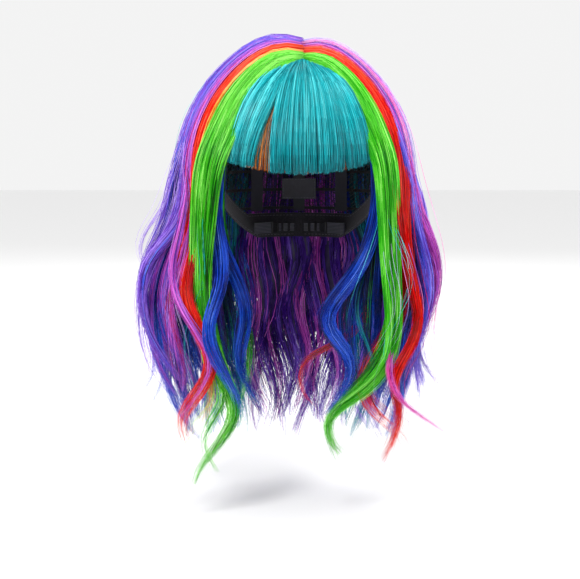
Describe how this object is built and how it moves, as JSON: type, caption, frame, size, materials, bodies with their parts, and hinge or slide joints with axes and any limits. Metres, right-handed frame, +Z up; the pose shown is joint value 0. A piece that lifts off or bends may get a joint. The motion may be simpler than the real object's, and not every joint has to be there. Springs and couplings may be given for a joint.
{
  "type": "costume wig",
  "caption": "Shoulder-length waved rainbow costume wig with a blunt fringe, on a stretch net cap with bands, ear tabs and hook adjusters.",
  "frame": {"origin": "middle of the head opening of the cap, level with the tops of the wearer's ears", "axes": "+Z up to the crown, -Y the way the wearer looks, +X to the wearer's left"},
  "size_m": [0.2522, 0.24, 0.358],
  "materials": {
    "net": "open stretch net, matt",
    "band": "velvet-faced elastic band, matt",
    "ribbon": "woven ribbon, slight sheen",
    "weft": "sewn weft tape, matt",
    "scalp": "sheer backing cloth, matt",
    "label": "blank woven label, satin",
    "hook": "moulded, satin",
    "hair_fringe": "glossy straight synthetic fibre",
    "hair_orange": "glossy straight synthetic fibre",
    "hair_green": "glossy waved synthetic fibre",
    "hair_red": "glossy waved synthetic fibre",
    "hair_magenta": "glossy waved synthetic fibre",
    "hair_violet": "glossy waved synthetic fibre",
    "hair_blue": "glossy waved synthetic fibre",
    "hair_teal": "glossy waved synthetic fibre",
    "hair_purple": "glossy waved synthetic fibre"
  },
  "bodies": {
    "cap": {"crown_net": "net", "front_band": "band", "nape_band": "band", "ribbon_centre": "ribbon", "ribbon_right": "ribbon", "ribbon_left": "ribbon", "parting_panel": "scalp", "fringe_track": "weft", "weft_track_1": "weft", "weft_track_2": "weft", "weft_track_3": "weft", "weft_track_4": "weft", "weft_track_5": "weft", "weft_track_6": "weft", "weft_track_7": "weft", "weft_track_8": "weft", "weft_track_9": "weft", "care_label": "label", "adjuster_loops_right": "ribbon", "adjuster_loops_left": "ribbon", "green_crown_right": "hair_green", "red_crown_right": "hair_red", "magenta_crown_right": "hair_magenta", "violet_crown_right": "hair_violet", "blue_crown_right": "hair_blue", "teal_crown_right": "hair_teal", "purple_crown_right": "hair_purple", "green_crown_left": "hair_green", "red_crown_left": "hair_red", "magenta_crown_left": "hair_magenta", "violet_crown_left": "hair_violet", "blue_crown_left": "hair_blue", "teal_crown_left": "hair_teal", "purple_crown_left": "hair_purple"},
    "front_hair_right": {"green_lock_right": "hair_green", "red_lock_right": "hair_red", "cheek_lock_right": "hair_blue"},
    "side_hair_right": {"magenta_lock_right": "hair_magenta", "violet_lock_right": "hair_violet", "blue_lock_right": "hair_blue"},
    "back_hair_right": {"teal_lock_right": "hair_teal", "purple_lock_right": "hair_purple"},
    "front_hair_left": {"green_lock_left": "hair_green", "red_lock_left": "hair_red", "cheek_lock_left": "hair_blue"},
    "side_hair_left": {"magenta_lock_left": "hair_magenta", "violet_lock_left": "hair_violet", "blue_lock_left": "hair_blue"},
    "back_hair_left": {"teal_lock_left": "hair_teal", "purple_lock_left": "hair_purple"},
    "fringe": {"fringe_hair": "hair_fringe", "fringe_under_hair": "hair_orange"},
    "ear_tab_right": {"ear_tab_right": "band"},
    "adjuster_strap_right": {"adjuster_strap_right": "ribbon"},
    "adjuster_hook_right": {"adjuster_hook_right": "hook"},
    "ear_tab_left": {"ear_tab_left": "band"},
    "adjuster_strap_left": {"adjuster_strap_left": "ribbon"},
    "adjuster_hook_left": {"adjuster_hook_left": "hook"}
  },
  "joints": [
    {"name": "front_hair_swing_right", "type": "hinge", "parent": "cap", "child": "front_hair_right", "pos_m": [-0.0704, -0.0676, 0], "axis": [-0.6, 0.8, 0], "range_deg": [0, 20]},
    {"name": "side_hair_swing_right", "type": "hinge", "parent": "cap", "child": "side_hair_right", "pos_m": [-0.094, 0.006, 0], "axis": [0, 1, 0], "range_deg": [0, 20]},
    {"name": "back_hair_swing_right", "type": "hinge", "parent": "cap", "child": "back_hair_right", "pos_m": [-0.0343, 0.1094, 0], "axis": [0.9075, 0.42, 0], "range_deg": [0, 20]},
    {"name": "front_hair_swing_left", "type": "hinge", "parent": "cap", "child": "front_hair_left", "pos_m": [0.0704, -0.0676, 0], "axis": [-0.6, -0.8, 0], "range_deg": [0, 20]},
    {"name": "side_hair_swing_left", "type": "hinge", "parent": "cap", "child": "side_hair_left", "pos_m": [0.094, 0.006, 0], "axis": [0, -1, 0], "range_deg": [0, 20]},
    {"name": "back_hair_swing_left", "type": "hinge", "parent": "cap", "child": "back_hair_left", "pos_m": [0.0343, 0.1094, 0], "axis": [0.9075, -0.42, 0], "range_deg": [0, 20]},
    {"name": "fringe_lift", "type": "hinge", "parent": "cap", "child": "fringe", "pos_m": [0.002, -0.051, 0.1222], "axis": [-1, 0, 0], "range_deg": [0, 25]},
    {"name": "ear_tab_fold_right", "type": "hinge", "parent": "cap", "child": "ear_tab_right", "pos_m": [-0.07172, -0.0175, 0.01], "axis": [0.1921, -0.9814, 0], "range_deg": [0, 60]},
    {"name": "adjuster_strap_slide_right", "type": "hinge", "parent": "cap", "child": "adjuster_strap_right", "pos_m": [0, 0.029, -0.028], "axis": [0, 0, -1], "range_deg": [0, 15], "stiffness_Nm_per_rad": 0.05},
    {"name": "adjuster_hook_turn_right", "type": "hinge", "parent": "adjuster_strap_right", "child": "adjuster_hook_right", "pos_m": [-0.0234, 0.06953, -0.028], "axis": [0, 0, -1], "range_deg": [0, 40]},
    {"name": "ear_tab_fold_left", "type": "hinge", "parent": "cap", "child": "ear_tab_left", "pos_m": [0.07172, -0.0175, 0.01], "axis": [0.1921, 0.9814, 0], "range_deg": [0, 60]},
    {"name": "adjuster_strap_slide_left", "type": "hinge", "parent": "cap", "child": "adjuster_strap_left", "pos_m": [0, 0.029, -0.028], "axis": [0, 0, 1], "range_deg": [0, 15], "stiffness_Nm_per_rad": 0.05},
    {"name": "adjuster_hook_turn_left", "type": "hinge", "parent": "adjuster_strap_left", "child": "adjuster_hook_left", "pos_m": [0.0234, 0.06953, -0.028], "axis": [0, 0, 1], "range_deg": [0, 40]}
  ]
}
